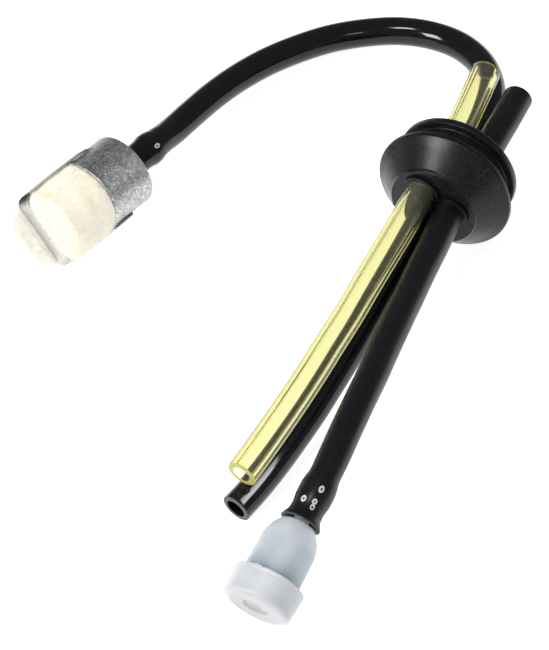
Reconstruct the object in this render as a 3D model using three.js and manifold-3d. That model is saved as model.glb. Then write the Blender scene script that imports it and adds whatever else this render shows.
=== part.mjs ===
// Fuel hose and filter set for the tank of a small engine, in millimetres, +Z up, resting on Z = 0.
// A rubber grommet plugs the hole in the tank wall and carries three hoses side by side:
// the suction hose (long loop, felt pickup filter on its end), the return hose (clear, open at
// both ends) and the vent hose (short, one-way vent valve on its end).
import * as THREE from "three";
import { mergeVertices } from "three/addons/utils/BufferGeometryUtils.js";
import Module from "manifold-3d";

// ---- hoses ----
const HOSE_R = 3.0;
const HOSE_BORE_R = 2.0;
const RETURN_BORE_R = 1.85;
const HOSE_SIDES = 12;
const BORE_SIDES = 8;
const HOSE_STEP = 7.0;
const HOSE_GAP = 0.4; // between a hose's end and the face it is pushed up to
const FLEX_GAP = 0.75; // half the gap left at a flex hinge

// ---- grommet, s runs along its axis from the rim plane towards the flange ----
const GROMMET_AT = [35.2, 42.3, 14.0];
const GROMMET_AZIMUTH = 64.04;
const RIM_R = 14.0;
const RIM_HALF = 0.5;
const CONE_END_R = 9.0;
const CONE_END_S = -5.8;
const GROOVE_R = 11.0;
const GROOVE_S0 = 2.2;
const GROOVE_S1 = 5.2;
const FLANGE_R = 12.5;
const FLANGE_S = 6.8;
const HOLE_R = 3.25;
const HOLE_RING_R = 3.95;
const HOLE_RING_SHIFT = -0.3;
const HOLE_STATIONS = [8.0, 3.4, -1.2, CONE_END_S]; // where a hose is held on its hole's centre line
const VENT_HOLE_DEG = 6;
const RETURN_HOLE_DEG = 126;
const SUCTION_HOLE_DEG = 246;

// ---- pickup filter, z runs along its axis from the can's closed end towards the hose ----
const FILTER_AT = [-28.6, 54.0, 7.75];
const FILTER_AZIMUTH = 49.64;
const CAN_R = 7.75;
const CAN_LENGTH = 10.5;
const CAN_WALL = 0.5;
const CAN_HOLE_R = 2.0;
const SLOT_A0 = 3.9;
const SLOT_A1 = 8.5;
const SLOT_WIDTH = 4.3;
const SLOT_DEPTH = 2.4;
const STRAP_THICK = 0.35;
const STRAP_WIDTH = 3.7;
const STRAP_R = 8.2;
const STRAP_HOOK_A = 4.2;
const STRAP_HOOK_R = 7.05;
const STRAP_END_A = 23.5;
const STRAP_ROLL = 42;
const FELT_R = 7.6;
const FELT_NECK_R = 6.9;
const FELT_START_A = 2.9;
const FELT_END_A = 23.2;
const FELT_ROUND = 1.6;
const FELT_STEP_A = 10.85; // just past the can's open edge, where the felt is narrowed to enter it
const FELT_BORE_R = 3.6;
const FELT_BORE_A = 20.0;
const CORE_R = 3.3;
const CORE_WALL = 0.6;
const CORE_END_A = 19.7;
const CORE_FLOOR = 0.8;
const CORE_WINDOW = 2.2;
const CORE_FIRST_ROW = 3.0;
const CORE_ROWS = 4;
const CORE_ROW_STEP = 3.6;
const STEM_R = 1.5;
const BARB_R = 1.62;
const STEM_BORE_R = 0.9;
const FILTER_STEM = 10.0;
const VALVE_STEM = 7.6;
const BARB_STEP = 2.2;
const NIPPLE_FLANGE_R = 4.4;
const NIPPLE_FLANGE_Z = [-2.55, -1.75];
const GASKET_Z = [-1.45, -0.8];

// ---- vent valve, z runs along its axis from the cap's end face towards the hose ----
const VALVE_AT = [-1.64, -55.45, 6.32];
const VALVE_AZIMUTH = 61.78;
const VALVE_TILT = 17.47;
const CAP_R = 6.62;
const CAP_RIM_R = 7.1;
const CAP_LENGTH = 5.3;
const CAP_WALL_END = 1.2;
const CAP_INNER_R = 5.75;
const CAP_VENT_R = 0.9;
const DIMPLE_R = 2.4;
const DIMPLE_DEPTH = 0.35;
const NOTCH_WIDTH = 1.4;
const NOTCH_DEPTH = 1.0;
const NOTCH_DEG = -125;
const BODY_R = 5.45;
const BODY_TOP_R = 5.2;
const BODY_START = 1.55;
const SHOULDER_START = 12.8;
const NECK_Z = 17.1;
const NECK_BASE_R = 3.6;
const CHAMBER_R = 4.5;
const CHAMBER_END = 12.7;
const INSERT_R = 4.2;
const PAD_Z = [1.55, 3.5];
const SEAT_Z = [3.85, 5.05];
const SEAT_PORTS = 6;
const PORT_R = 0.7;
const PORT_RING_R = 2.2;
const CHECK_R = 3.3;
const CHECK_Z = [5.35, 6.15];
const SPRING_R = 2.2;
const SPRING_WIRE_R = 0.2;
const SPRING_TURNS = 5;
const SPRING_STEPS = 12; // per turn
const SPRING_GAP = 0.3;

// moves the centre of the solid pieces' box onto the origin
const CENTRE = [0.1, -1.9, 0];

// ---- hose routes between their fixed ends, hand-chosen centreline points ----
const SUCTION_LOOP = [
  [-19.3, 65.8, 6.8], [-15.2, 71.7, 6.3], [-10.8, 77.5, 6.0], [-5.8, 83.0, 5.7], [-0.1, 87.8, 5.6],
  [6.4, 91.8, 5.6], [13.4, 94.8, 5.8], [20.7, 96.4, 6.0], [27.9, 96.5, 6.4], [34.6, 94.7, 6.8],
  [40.3, 90.9, 7.3], [44.3, 85.2, 7.8], [46.0, 78.4, 8.3], [45.7, 71.0, 8.9], [43.9, 63.6, 9.4],
  [40.9, 56.8, 9.9],
];
const SUCTION_TAIL = [
  [28.4, 31.8, 10.2], [25.8, 25.7, 9.9], [23.1, 19.7, 9.5], [20.4, 13.7, 9.2], [17.6, 7.7, 8.7],
  [14.7, 1.8, 8.1], [11.7, -4.0, 7.5], [8.6, -9.7, 6.7], [5.2, -15.3, 5.8], [1.7, -20.8, 4.9],
  [-2.1, -26.1, 3.9], [-5.5, -30.3, 3.1],
];
const RETURN_STUB = [[44.4, 72.0, 17.5], [41.9, 64.9, 17.5], [39.2, 57.6, 17.4]];
const RETURN_TAIL = [
  [27.4, 31.6, 17.1], [24.5, 25.4, 16.8], [21.5, 19.2, 16.4], [18.5, 13.0, 15.9], [15.5, 6.8, 15.3],
  [12.3, 0.8, 14.6], [9.1, -5.3, 13.8], [5.8, -11.2, 12.9], [2.3, -17.1, 11.9], [-1.3, -22.9, 10.8],
  [-4.4, -27.7, 9.9],
];
const VENT_STUB = [[50.9, 67.7, 14.6], [48.2, 61.6, 14.6], [45.4, 55.6, 14.5]];
const VENT_TAIL = [
  [32.5, 26.1, 14.7], [29.8, 19.2, 14.8], [27.3, 12.2, 15.1], [24.8, 5.3, 15.5], [22.3, -1.7, 15.8],
  [19.9, -8.6, 16.0], [17.3, -15.4, 16.0], [14.7, -22.2, 15.7], [12.2, -28.7, 15.1],
];
// arc length from the first point of a route to its flex hinge
const SUCTION_FLEX_AT = 80.0;
const RETURN_FLEX_AT = 54.5;
const VENT_FLEX_AT = 53.5;

const wasm = await Module();
wasm.setup();

function toSolid(geometry) {
  const bare = geometry.index ? geometry.toNonIndexed() : geometry.clone();
  bare.deleteAttribute("normal");
  bare.deleteAttribute("uv");
  const merged = mergeVertices(bare, 1e-4);
  return new wasm.Manifold(
    new wasm.Mesh({
      numProp: 3,
      vertProperties: merged.attributes.position.array,
      triVerts: new Uint32Array(merged.index.array),
    }),
  );
}

function toGeometry(solid) {
  const mesh = solid.getMesh();
  const geometry = new THREE.BufferGeometry();
  geometry.setAttribute("position", new THREE.BufferAttribute(mesh.vertProperties, 3));
  geometry.setIndex(new THREE.BufferAttribute(mesh.triVerts, 1));
  return geometry;
}

function cut(geometry, tools) {
  let solid = toSolid(geometry);
  for (const tool of tools) {
    solid = solid.subtract(toSolid(tool));
  }
  return toGeometry(solid);
}

// A turned solid about local +Z from [radius, z] pairs.
function turned(profile, sides, closed = true) {
  const points = profile.map(([r, z]) => new THREE.Vector2(r, z));
  if (closed) {
    points.push(points[0].clone());
  }
  return new THREE.LatheGeometry(points, sides).rotateX(Math.PI / 2);
}

// A cylinder about local +Z from z0 to z1, centred at (x, y).
function rod(x, y, r, z0, z1, sides) {
  return new THREE.CylinderGeometry(r, r, z1 - z0, sides)
    .rotateX(Math.PI / 2)
    .translate(x, y, (z0 + z1) / 2);
}

// Direction at an angle in an assembly's frame: 0 is horizontal, 90 is up.
function around(deg, r) {
  const t = THREE.MathUtils.degToRad(deg);
  return [r * Math.sin(t), r * Math.cos(t)];
}

// Frame of an assembly: local X up, local Y horizontal, local Z along the axis.
function frameOf(at, azimuth, tilt) {
  const az = THREE.MathUtils.degToRad(azimuth);
  const t = THREE.MathUtils.degToRad(tilt);
  const axis = new THREE.Vector3(
    Math.cos(az) * Math.cos(t),
    Math.sin(az) * Math.cos(t),
    Math.sin(t),
  );
  const side = new THREE.Vector3(Math.sin(az), -Math.cos(az), 0);
  const up = new THREE.Vector3().crossVectors(side, axis);
  const group = new THREE.Group();
  group.position.set(at[0], at[1], at[2]);
  group.quaternion.setFromRotationMatrix(new THREE.Matrix4().makeBasis(up, side, axis));
  group.updateMatrixWorld(true);
  return group;
}

function onFrame(group, x, y, z) {
  return group.localToWorld(new THREE.Vector3(x, y, z)).toArray();
}

const finish = {
  rubber: { color: 0x1c1c1f, roughness: 0.45, metalness: 0 },
  hose: { color: 0x131316, roughness: 0.2, metalness: 0 },
  clear: { color: 0xd8d36a, roughness: 0.15, metalness: 0 },
  zinc: { color: 0x9a9da0, roughness: 0.4, metalness: 1 },
  felt: { color: 0xf3e8cf, roughness: 0.95, metalness: 0 },
  nylon: { color: 0xdfe6ee, roughness: 0.35, metalness: 0 },
  steel: { color: 0xb8bcc0, roughness: 0.25, metalness: 1 },
  brass: { color: 0xb89a50, roughness: 0.3, metalness: 1 },
};

function addMesh(group, name, geometry, look) {
  geometry.computeVertexNormals();
  const mesh = new THREE.Mesh(geometry, new THREE.MeshStandardMaterial(finish[look]));
  mesh.name = name;
  group.add(mesh);
}

// ---- tank grommet ----
const grommet = frameOf(GROMMET_AT, GROMMET_AZIMUTH, 0);

function grommetGeometry() {
  const profile = [
    [0, CONE_END_S],
    [CONE_END_R - 0.4, CONE_END_S],
    [CONE_END_R, CONE_END_S + 0.4],
    [RIM_R - 1.6, -1.9],
    [RIM_R, -RIM_HALF],
    [RIM_R, RIM_HALF],
    [GROOVE_R + 0.6, GROOVE_S0 - 0.5],
    [GROOVE_R, GROOVE_S0],
    [GROOVE_R, GROOVE_S1],
    [FLANGE_R, GROOVE_S1],
    [FLANGE_R, FLANGE_S - 0.3],
    [FLANGE_R - 0.3, FLANGE_S],
    [0, FLANGE_S],
  ];
  const holes = [VENT_HOLE_DEG, RETURN_HOLE_DEG, SUCTION_HOLE_DEG].map((deg) => {
    const [x, y] = around(deg, HOLE_RING_R);
    return rod(x, y + HOLE_RING_SHIFT, HOLE_R, CONE_END_S - 1, FLANGE_S + 1, 20);
  });
  return cut(turned(profile, 40, false), holes);
}

// Points on the centre line of one of the grommet's holes.
function inHole(deg) {
  const [x, y] = around(deg, HOLE_RING_R);
  return HOLE_STATIONS.map((s) => onFrame(grommet, x, y + HOLE_RING_SHIFT, s));
}

// ---- pickup filter ----
const filter = frameOf(FILTER_AT, FILTER_AZIMUTH, 0);

function canGeometry() {
  const inner = CAN_R - CAN_WALL;
  const body = turned(
    [
      [inner, -CAN_LENGTH],
      [CAN_R, -CAN_LENGTH],
      [CAN_R, -0.3],
      [CAN_R - 0.3, 0],
      [CAN_HOLE_R, 0],
      [CAN_HOLE_R, -CAN_WALL],
      [inner, -CAN_WALL],
    ],
    32,
  );
  const slots = [0, 180].map((turn) =>
    new THREE.BoxGeometry(SLOT_WIDTH, SLOT_DEPTH, SLOT_A1 - SLOT_A0)
      .translate(0, CAN_R, -(SLOT_A0 + SLOT_A1) / 2)
      .rotateZ(THREE.MathUtils.degToRad(STRAP_ROLL + turn)),
  );
  return cut(body, slots);
}

function strapGeometry() {
  const outer = STRAP_R + STRAP_THICK;
  const endOuter = -(STRAP_END_A + STRAP_THICK);
  const endInner = -STRAP_END_A;
  const hookTop = -STRAP_HOOK_A;
  const hookBottom = -(STRAP_HOOK_A + STRAP_THICK);
  const half = [
    [outer - 1.0, endOuter],
    [outer - 0.3, endOuter + 0.3],
    [outer, endOuter + 1.0],
    [outer, hookTop],
    [STRAP_HOOK_R, hookTop],
    [STRAP_HOOK_R, hookBottom],
    [STRAP_R, hookBottom],
    [STRAP_R, endInner + 0.65],
    [STRAP_R - 0.2, endInner + 0.2],
    [STRAP_R - 0.65, endInner],
  ];
  const mirrored = half.map(([y, z]) => [-y, z]).reverse();
  const shape = new THREE.Shape(half.concat(mirrored).map(([y, z]) => new THREE.Vector2(y, z)));
  const alongYZ = new THREE.Matrix4().makeBasis(
    new THREE.Vector3(0, 1, 0),
    new THREE.Vector3(0, 0, 1),
    new THREE.Vector3(1, 0, 0),
  );
  return new THREE.ExtrudeGeometry(shape, { depth: STRAP_WIDTH, bevelEnabled: false })
    .translate(0, 0, -STRAP_WIDTH / 2)
    .applyMatrix4(alongYZ)
    .rotateZ(THREE.MathUtils.degToRad(STRAP_ROLL));
}

function feltGeometry() {
  const profile = [[0, -FELT_END_A]];
  for (let i = 0; i <= 4; i += 1) {
    const t = (i / 4) * (Math.PI / 2);
    profile.push([
      FELT_R - FELT_ROUND + FELT_ROUND * Math.sin(t),
      -FELT_END_A + FELT_ROUND - FELT_ROUND * Math.cos(t),
    ]);
  }
  profile.push([FELT_R, -FELT_STEP_A]);
  profile.push([FELT_NECK_R, -FELT_STEP_A]);
  profile.push([FELT_NECK_R, -FELT_START_A]);
  profile.push([FELT_BORE_R, -FELT_START_A]);
  profile.push([FELT_BORE_R, -FELT_BORE_A]);
  profile.push([0, -FELT_BORE_A]);
  return turned(profile, 32, false);
}

function coreGeometry() {
  const inner = CORE_R - CORE_WALL;
  const cup = turned(
    [
      [0, -CORE_END_A],
      [CORE_R, -CORE_END_A],
      [CORE_R, -FELT_START_A],
      [inner, -FELT_START_A],
      [inner, -CORE_END_A + CORE_FLOOR],
      [0, -CORE_END_A + CORE_FLOOR],
    ],
    20,
    false,
  );
  const windows = [];
  for (let row = 0; row < CORE_ROWS; row += 1) {
    const z = -(FELT_START_A + CORE_FIRST_ROW + row * CORE_ROW_STEP);
    for (const turn of [0, Math.PI / 2]) {
      const bar = new THREE.BoxGeometry(CORE_WINDOW, 3 * CORE_R, CORE_WINDOW);
      windows.push(bar.rotateZ(turn).translate(0, 0, z));
    }
  }
  return cut(cup, windows);
}

// Profile of a stem's three ridges and tip, the tip at height tip, as [radius, z] pairs.
function barbs(tip) {
  const points = [];
  for (let i = 2; i >= 0; i -= 1) {
    const ridge = tip - 1.2 - i * BARB_STEP;
    points.push([STEM_R, ridge - 0.5]);
    points.push([BARB_R, ridge]);
    points.push([STEM_R, ridge + 0.9]);
  }
  points.push([STEM_R - 0.2, tip]);
  return points;
}

function nippleGeometry() {
  return turned(
    [
      [STEM_BORE_R, NIPPLE_FLANGE_Z[0]],
      [NIPPLE_FLANGE_R, NIPPLE_FLANGE_Z[0]],
      [NIPPLE_FLANGE_R, NIPPLE_FLANGE_Z[1]],
      [STEM_R, NIPPLE_FLANGE_Z[1]],
      ...barbs(FILTER_STEM),
      [STEM_BORE_R, FILTER_STEM],
    ],
    20,
  );
}

function gasketGeometry() {
  return turned(
    [
      [CAN_HOLE_R, GASKET_Z[0]],
      [NIPPLE_FLANGE_R, GASKET_Z[0]],
      [NIPPLE_FLANGE_R, GASKET_Z[1]],
      [CAN_HOLE_R, GASKET_Z[1]],
    ],
    24,
  );
}

// ---- vent valve ----
const valve = frameOf(VALVE_AT, VALVE_AZIMUTH, VALVE_TILT);

function capGeometry() {
  const body = turned(
    [
      [CAP_VENT_R, DIMPLE_DEPTH],
      [DIMPLE_R - 0.1, DIMPLE_DEPTH],
      [DIMPLE_R + 0.1, 0],
      [CAP_R - 0.9, 0],
      [CAP_R - 0.25, 0.25],
      [CAP_R, 0.9],
      [CAP_RIM_R, CAP_LENGTH - 0.3],
      [CAP_RIM_R - 0.25, CAP_LENGTH],
      [CAP_INNER_R, CAP_LENGTH],
      [CAP_INNER_R, CAP_WALL_END],
      [CAP_VENT_R, CAP_WALL_END],
    ],
    36,
  );
  const notch = new THREE.BoxGeometry(NOTCH_WIDTH, 3, 2 * NOTCH_DEPTH)
    .translate(0, CAP_RIM_R, CAP_LENGTH)
    .rotateZ(THREE.MathUtils.degToRad(NOTCH_DEG));
  return cut(body, [notch]);
}

function bodyGeometry() {
  return turned(
    [
      [CHAMBER_R, BODY_START],
      [BODY_R, BODY_START],
      [BODY_R, CAP_LENGTH],
      [BODY_TOP_R, SHOULDER_START],
      [BODY_TOP_R - 0.2, SHOULDER_START + 1.2],
      [BODY_TOP_R - 0.6, SHOULDER_START + 2.4],
      [BODY_TOP_R - 1.2, SHOULDER_START + 3.6],
      [NECK_BASE_R, NECK_Z],
      [STEM_R, NECK_Z],
      ...barbs(NECK_Z + VALVE_STEM),
      [STEM_BORE_R, NECK_Z + VALVE_STEM],
      [STEM_BORE_R, CHAMBER_END],
      [CHAMBER_R, CHAMBER_END],
    ],
    32,
  );
}

function padGeometry() {
  return rod(0, 0, INSERT_R, PAD_Z[0], PAD_Z[1], 24);
}

function seatGeometry() {
  const disc = rod(0, 0, INSERT_R, SEAT_Z[0], SEAT_Z[1], 24);
  const ports = [];
  for (let i = 0; i < SEAT_PORTS; i += 1) {
    const [x, y] = around((i * 360) / SEAT_PORTS, PORT_RING_R);
    ports.push(rod(x, y, PORT_R, SEAT_Z[0] - 1, SEAT_Z[1] + 1, 10));
  }
  return cut(disc, ports);
}

function checkGeometry() {
  return rod(0, 0, CHECK_R, CHECK_Z[0], CHECK_Z[1], 24);
}

function springGeometry() {
  const z0 = CHECK_Z[1] + SPRING_GAP + SPRING_WIRE_R;
  const z1 = CHAMBER_END - SPRING_GAP - SPRING_WIRE_R;
  const points = [];
  for (let i = 0; i <= SPRING_TURNS * SPRING_STEPS; i += 1) {
    const t = i / SPRING_STEPS;
    points.push(
      new THREE.Vector3(
        SPRING_R * Math.cos(t * 2 * Math.PI),
        SPRING_R * Math.sin(t * 2 * Math.PI),
        z0 + ((z1 - z0) * t) / SPRING_TURNS,
      ),
    );
  }
  return new THREE.ExtrudeGeometry(polygon(SPRING_WIRE_R, 6, THREE.Shape), {
    steps: SPRING_TURNS * SPRING_STEPS,
    bevelEnabled: false,
    extrudePath: new THREE.CatmullRomCurve3(points),
  });
}

// ---- hoses ----
function polygon(radius, sides, Kind) {
  const points = [];
  for (let i = 0; i < sides; i += 1) {
    const t = (i / sides) * 2 * Math.PI;
    points.push(new THREE.Vector2(radius * Math.cos(t), radius * Math.sin(t)));
  }
  return new Kind(points);
}

function curveThrough(points) {
  return new THREE.CatmullRomCurve3(points.map((p) => new THREE.Vector3(...p)));
}

// Part of a route between two arc lengths, as a hollow hose with square-cut ends.
function hoseGeometry(route, from, to, bore) {
  const total = route.getLength();
  const stop = Math.min(to, total);
  const count = Math.ceil((stop - from) / 3);
  const points = [];
  for (let i = 0; i <= count; i += 1) {
    const share = (from + ((stop - from) * i) / count) / total;
    points.push(route.getPointAt(Math.min(share, 1)));
  }
  const shape = polygon(HOSE_R, HOSE_SIDES, THREE.Shape);
  shape.holes.push(polygon(bore, BORE_SIDES, THREE.Path));
  return new THREE.ExtrudeGeometry(shape, {
    steps: Math.ceil((stop - from) / HOSE_STEP),
    bevelEnabled: false,
    extrudePath: new THREE.CatmullRomCurve3(points),
  });
}

const filterStart = [HOSE_GAP, 5.0, FILTER_STEM].map((z) => onFrame(filter, 0, 0, z));
const valveEnd = [VALVE_STEM, 4.0, HOSE_GAP].map((z) => onFrame(valve, 0, 0, NECK_Z + z));

const suctionRoute = curveThrough(
  filterStart.concat(SUCTION_LOOP, inHole(SUCTION_HOLE_DEG), SUCTION_TAIL),
);
const returnRoute = curveThrough(
  RETURN_STUB.concat(inHole(RETURN_HOLE_DEG), RETURN_TAIL),
);
const ventRoute = curveThrough(
  VENT_STUB.concat(inHole(VENT_HOLE_DEG), VENT_TAIL, valveEnd),
);
for (const route of [suctionRoute, returnRoute, ventRoute]) {
  route.arcLengthDivisions = 2000;
}

const part = new THREE.Group();
part.position.set(...CENTRE);
part.add(grommet, filter, valve);

addMesh(grommet, "tank_grommet", grommetGeometry(), "rubber");
addMesh(filter, "filter_can", canGeometry(), "zinc");
addMesh(filter, "retaining_strap", strapGeometry(), "steel");
addMesh(filter, "felt_element", feltGeometry(), "felt");
addMesh(filter, "filter_core", coreGeometry(), "nylon");
addMesh(filter, "filter_nipple", nippleGeometry(), "brass");
addMesh(filter, "nipple_gasket", gasketGeometry(), "rubber");
addMesh(valve, "vent_cap", capGeometry(), "nylon");
addMesh(valve, "vent_body", bodyGeometry(), "nylon");
addMesh(valve, "vent_filter_pad", padGeometry(), "felt");
addMesh(valve, "vent_seat", seatGeometry(), "nylon");
addMesh(valve, "vent_check_disc", checkGeometry(), "rubber");
addMesh(valve, "vent_spring", springGeometry(), "steel");

const routes = [
  ["suction_hose", "suction_hose_end", suctionRoute, SUCTION_FLEX_AT, HOSE_BORE_R, "hose", true],
  ["return_hose", "return_hose_end", returnRoute, RETURN_FLEX_AT, RETURN_BORE_R, "clear", false],
  ["vent_hose", "vent_hose_end", ventRoute, VENT_FLEX_AT, HOSE_BORE_R, "hose", false],
];
for (const [rootName, endName, route, flexAt, bore, look, endFirst] of routes) {
  const first = hoseGeometry(route, 0, flexAt - FLEX_GAP, bore);
  const second = hoseGeometry(route, flexAt + FLEX_GAP, route.getLength(), bore);
  addMesh(part, endFirst ? endName : rootName, first, look);
  addMesh(part, endFirst ? rootName : endName, second, look);
}

export default part;
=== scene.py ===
"""Looks of the fuel hose and filter set: grommet, three hoses, felt pickup filter and vent valve.

Lengths are in millimetres until mm() or an assembly's matrix turns them into metres of the frame.
"""

import math
import random

import bmesh
import bpy
from mathutils import Matrix, Vector, noise


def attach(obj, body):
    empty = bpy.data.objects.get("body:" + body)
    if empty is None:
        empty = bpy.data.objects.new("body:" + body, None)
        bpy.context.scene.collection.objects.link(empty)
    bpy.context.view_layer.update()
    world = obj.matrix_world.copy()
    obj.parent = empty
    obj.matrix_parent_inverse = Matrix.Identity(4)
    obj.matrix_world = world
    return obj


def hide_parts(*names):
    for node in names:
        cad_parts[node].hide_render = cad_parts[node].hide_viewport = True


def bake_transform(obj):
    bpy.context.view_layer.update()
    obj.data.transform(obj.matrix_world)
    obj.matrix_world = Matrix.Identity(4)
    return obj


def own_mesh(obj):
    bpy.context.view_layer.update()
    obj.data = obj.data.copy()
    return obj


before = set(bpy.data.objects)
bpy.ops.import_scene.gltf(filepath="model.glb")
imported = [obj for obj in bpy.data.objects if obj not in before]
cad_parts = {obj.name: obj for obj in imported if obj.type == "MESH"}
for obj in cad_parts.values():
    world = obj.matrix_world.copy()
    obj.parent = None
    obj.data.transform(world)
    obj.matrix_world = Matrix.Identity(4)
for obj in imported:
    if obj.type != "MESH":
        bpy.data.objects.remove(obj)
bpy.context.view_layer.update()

# ---- places and sizes, the same as the CAD's ----
CENTRE = Vector((0.1, -1.9, 0.0))
GROMMET_AT, GROMMET_AZIMUTH = (35.2, 42.3, 14.0), 64.04
FILTER_AT, FILTER_AZIMUTH = (-28.6, 54.0, 7.75), 49.64
VALVE_AT, VALVE_AZIMUTH, VALVE_TILT = (-1.64, -55.45, 6.32), 61.78, 17.47
CONE_END_S = -5.8
HOLE_RING_R, HOLE_RING_SHIFT = 3.95, -0.3
HOLE_STATIONS = (8.0, 3.4, -1.2, CONE_END_S)
VENT_HOLE_DEG, RETURN_HOLE_DEG, SUCTION_HOLE_DEG = 6, 126, 246
NECK_Z = 17.1
HOSE_GAP = 0.4
HOSE_R, HOSE_BORE_R, RETURN_BORE_R = 3.0, 2.0, 1.85
STRAP_ROLL = 42
CAN_R = 7.75

# ---- the looks' own sizes: the holes close on the hoses, and the felt is flattened where it rests ----
HOLE_R = 3.05
FELT_LOWEST = -7.72

# ---- camera ----
CAMERA_AT = (1.65, -414.6, 471.1)
CAMERA_TILT = 42.6
LENS, SENSOR = 215.05, 36

# ---- floor and loose fibres, in metres ----
FLOOR_Z = -0.0002
FLOOR_HALF = 3.0
FIBRES = 11000
FIBRE_LENGTHS = (0.0003, 0.0011)
FIBRE_RADII = (0.00003, 0.000022)
FIBRE_SUNK = 0.00005
FIBRE_CLEARANCE = 0.0014

# ---- hose routes, the same centreline points as the CAD's ----
# They are not a list chosen by hand: they are computed, mostly at even steps on smoothed curves, and
# some values are then adjusted, those of the stubs the most.
SUCTION_LOOP = [
    (-19.3, 65.8, 6.8), (-15.2, 71.7, 6.3), (-10.8, 77.5, 6.0), (-5.8, 83.0, 5.7), (-0.1, 87.8, 5.6),
    (6.4, 91.8, 5.6), (13.4, 94.8, 5.8), (20.7, 96.4, 6.0), (27.9, 96.5, 6.4), (34.6, 94.7, 6.8),
    (40.3, 90.9, 7.3), (44.3, 85.2, 7.8), (46.0, 78.4, 8.3), (45.7, 71.0, 8.9), (43.9, 63.6, 9.4),
    (40.9, 56.8, 9.9),
]
SUCTION_TAIL = [
    (28.4, 31.8, 10.2), (25.8, 25.7, 9.9), (23.1, 19.7, 9.5), (20.4, 13.7, 9.2), (17.6, 7.7, 8.7),
    (14.7, 1.8, 8.1), (11.7, -4.0, 7.5), (8.6, -9.7, 6.7), (5.2, -15.3, 5.8), (1.7, -20.8, 4.9),
    (-2.1, -26.1, 3.9), (-5.5, -30.3, 3.1),
]
RETURN_STUB = [(44.4, 72.0, 17.5), (41.9, 64.9, 17.5), (39.2, 57.6, 17.4)]
RETURN_TAIL = [
    (27.4, 31.6, 17.1), (24.5, 25.4, 16.8), (21.5, 19.2, 16.4), (18.5, 13.0, 15.9), (15.5, 6.8, 15.3),
    (12.3, 0.8, 14.6), (9.1, -5.3, 13.8), (5.8, -11.2, 12.9), (2.3, -17.1, 11.9), (-1.3, -22.9, 10.8),
    (-4.4, -27.7, 9.9),
]
VENT_STUB = [(50.9, 67.7, 14.6), (48.2, 61.6, 14.6), (45.4, 55.6, 14.5)]
VENT_TAIL = [
    (32.5, 26.1, 14.7), (29.8, 19.2, 14.8), (27.3, 12.2, 15.1), (24.8, 5.3, 15.5), (22.3, -1.7, 15.8),
    (19.9, -8.6, 16.0), (17.3, -15.4, 16.0), (14.7, -22.2, 15.7), (12.2, -28.7, 15.1),
]


def mm(x, y, z):
    """A point of the design in metres of the shared frame."""
    return (Vector((x, y, z)) + CENTRE) * 0.001


def assembly(at, azimuth, tilt=0.0):
    """Matrix from an assembly's millimetres (x up, y level, z along its axis) to the frame."""
    az, t = math.radians(azimuth), math.radians(tilt)
    axis = Vector((math.cos(az) * math.cos(t), math.sin(az) * math.cos(t), math.sin(t)))
    side = Vector((math.sin(az), -math.cos(az), 0.0))
    up = side.cross(axis)
    turn = Matrix((up, side, axis)).transposed().to_4x4()
    return Matrix.Translation(mm(*at)) @ turn @ Matrix.Scale(0.001, 4)


GROMMET = assembly(GROMMET_AT, GROMMET_AZIMUTH)
FILTER = assembly(FILTER_AT, FILTER_AZIMUTH)
VALVE = assembly(VALVE_AT, VALVE_AZIMUTH, VALVE_TILT)


def around(deg, r):
    """Local (x, y) at an angle where 0 is level and 90 is up."""
    t = math.radians(deg)
    return r * math.sin(t), r * math.cos(t)


def back_to_mm(point):
    return point * 1000 - CENTRE


# ---------------------------------------------------------------- camera, floor and lights


def add_camera():
    data = bpy.data.cameras.new("camera")
    data.sensor_fit = "HORIZONTAL"
    data.sensor_width = SENSOR
    data.lens = LENS
    data.clip_start = 0.01
    data.clip_end = 20
    camera = bpy.data.objects.new("camera", data)
    camera.location = mm(*CAMERA_AT)
    camera.rotation_euler = (math.radians(CAMERA_TILT), 0, 0)
    bpy.context.scene.collection.objects.link(camera)
    bpy.context.scene.camera = camera


def add_softbox(name, place, aim, size, radiance, lit=(), upright=(0, 0, 1), spread=180):
    """A soft light facing the point aimed at, in metres; lit limits it to some pieces.

    The radiance is the one straight ahead, whatever the spread in degrees.
    """
    data = bpy.data.lights.new(name, "AREA")
    data.shape = "RECTANGLE"
    data.size, data.size_y = size
    data.energy = radiance * math.pi * data.size * data.size_y
    if spread < 180:
        half = math.radians(spread) / 2
        data.spread = 2 * half
        data.energy *= 1 - half / math.tan(half)
    light = bpy.data.objects.new(name, data)
    back = (Vector(place) - Vector(aim)).normalized()
    side = Vector(upright).cross(back).normalized()
    turn = Matrix((side, back.cross(side), back)).transposed().to_4x4()
    light.matrix_world = Matrix.Translation(place) @ turn
    light.visible_camera = False
    bpy.context.scene.collection.objects.link(light)
    if lit:
        group = bpy.data.collections.new(name)
        for piece in lit:
            group.objects.link(piece)
        light.light_linking.receiver_collection = group
        light.light_linking.blocker_collection = group


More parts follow.
